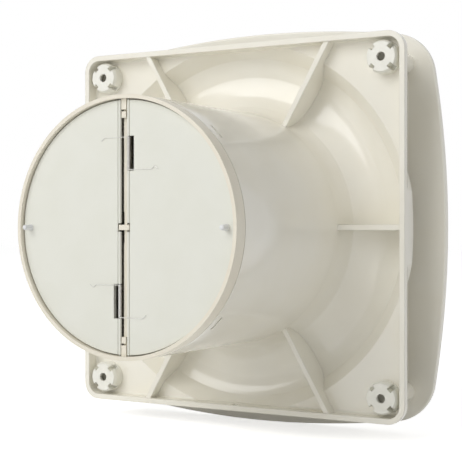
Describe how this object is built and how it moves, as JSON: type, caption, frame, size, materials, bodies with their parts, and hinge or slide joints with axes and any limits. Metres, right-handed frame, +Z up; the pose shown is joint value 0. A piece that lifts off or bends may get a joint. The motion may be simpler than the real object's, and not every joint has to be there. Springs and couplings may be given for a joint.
{
  "type": "wall extractor fan",
  "caption": "Square wall extractor fan for a round duct: ribbed tray and bell mouth, duct spigot with a sprung twin-flap damper, motor and impeller in the bore, and a stand-off front panel.",
  "frame": {"origin": "centre of the four wall-screw holes, on the wall plane (the tray rim's rear face)", "axes": "+Y along the duct, from the room into the wall; -Y faces the room; +Z up"},
  "size_m": [0.1746, 0.1166, 0.1746],
  "materials": {
    "ivory_abs": "injection-moulded ivory ABS, satin gloss",
    "damper_abs": "injection-moulded off-white ABS, fine matt",
    "impeller_abs": "injection-moulded ABS",
    "white_nylon": "natural white nylon",
    "peg_nylon": "cool white nylon",
    "spring_steel": "drawn spring wire",
    "pin_steel": "ground steel rod",
    "lamination_steel": "stamped electrical steel",
    "copper": "enamelled copper",
    "cast_zinc": "die-cast, satin",
    "bronze": "sintered bronze",
    "brass": "turned brass",
    "plated_steel": "zinc-plated",
    "lead_pvc": "PVC sheath, white",
    "grommet_rubber": "moulded rubber, light grey"
  },
  "bodies": {
    "housing": {"chassis": "ivory_abs", "corner_bushes": "white_nylon", "damper_ring": "damper_abs", "hinge_pins": "pin_steel", "upper_spring": "spring_steel", "lower_spring": "spring_steel", "motor_carrier": "ivory_abs", "motor_stator": "lamination_steel", "shading_rings": "copper", "coil_bobbin": "white_nylon", "motor_coil": "copper", "front_bearing_bridge": "cast_zinc", "rear_bearing_bridge": "cast_zinc", "front_bearing": "bronze", "rear_bearing": "bronze", "motor_screws": "plated_steel", "motor_lead": "lead_pvc", "cable_grommet": "grommet_rubber", "terminal_block": "white_nylon", "terminal_clamps": "brass", "terminal_screws": "plated_steel", "terminal_cover": "ivory_abs", "terminal_cover_screw": "plated_steel"},
    "rotor": {"motor_shaft": "pin_steel", "rotor_core": "cast_zinc", "impeller": "impeller_abs", "impeller_nut": "brass"},
    "left_flap": {"left_flap": "damper_abs", "left_stop_peg": "peg_nylon", "left_spring_pin": "pin_steel"},
    "right_flap": {"right_flap": "damper_abs", "right_stop_peg": "peg_nylon", "right_spring_pin": "pin_steel"},
    "front_panel": {"front_panel": "ivory_abs", "panel_posts": "ivory_abs"}
  },
  "joints": [
    {"name": "rotor_spin", "type": "hinge", "parent": "housing", "child": "rotor", "pos_m": [0, 0.037, 0], "axis": [0, 1, 0], "continuous": true},
    {"name": "left_flap_hinge", "type": "hinge", "parent": "housing", "child": "left_flap", "pos_m": [0.00195, 0.0807, 0], "axis": [0, 0, 1], "range_deg": [0, 85], "stiffness_Nm_per_rad": 0.002, "springref_deg": -20.05, "deforming": ["upper_spring", "lower_spring"]},
    {"name": "right_flap_hinge", "type": "hinge", "parent": "housing", "child": "right_flap", "pos_m": [-0.00195, 0.0807, 0], "axis": [0, 0, -1], "range_deg": [0, 85], "stiffness_Nm_per_rad": 0.002, "springref_deg": -20.05, "deforming": ["upper_spring", "lower_spring"]},
    {"name": "panel_pull", "type": "slide", "parent": "housing", "child": "front_panel", "axis": [0, -1, 0], "range_m": [0, 0.02]}
  ]
}
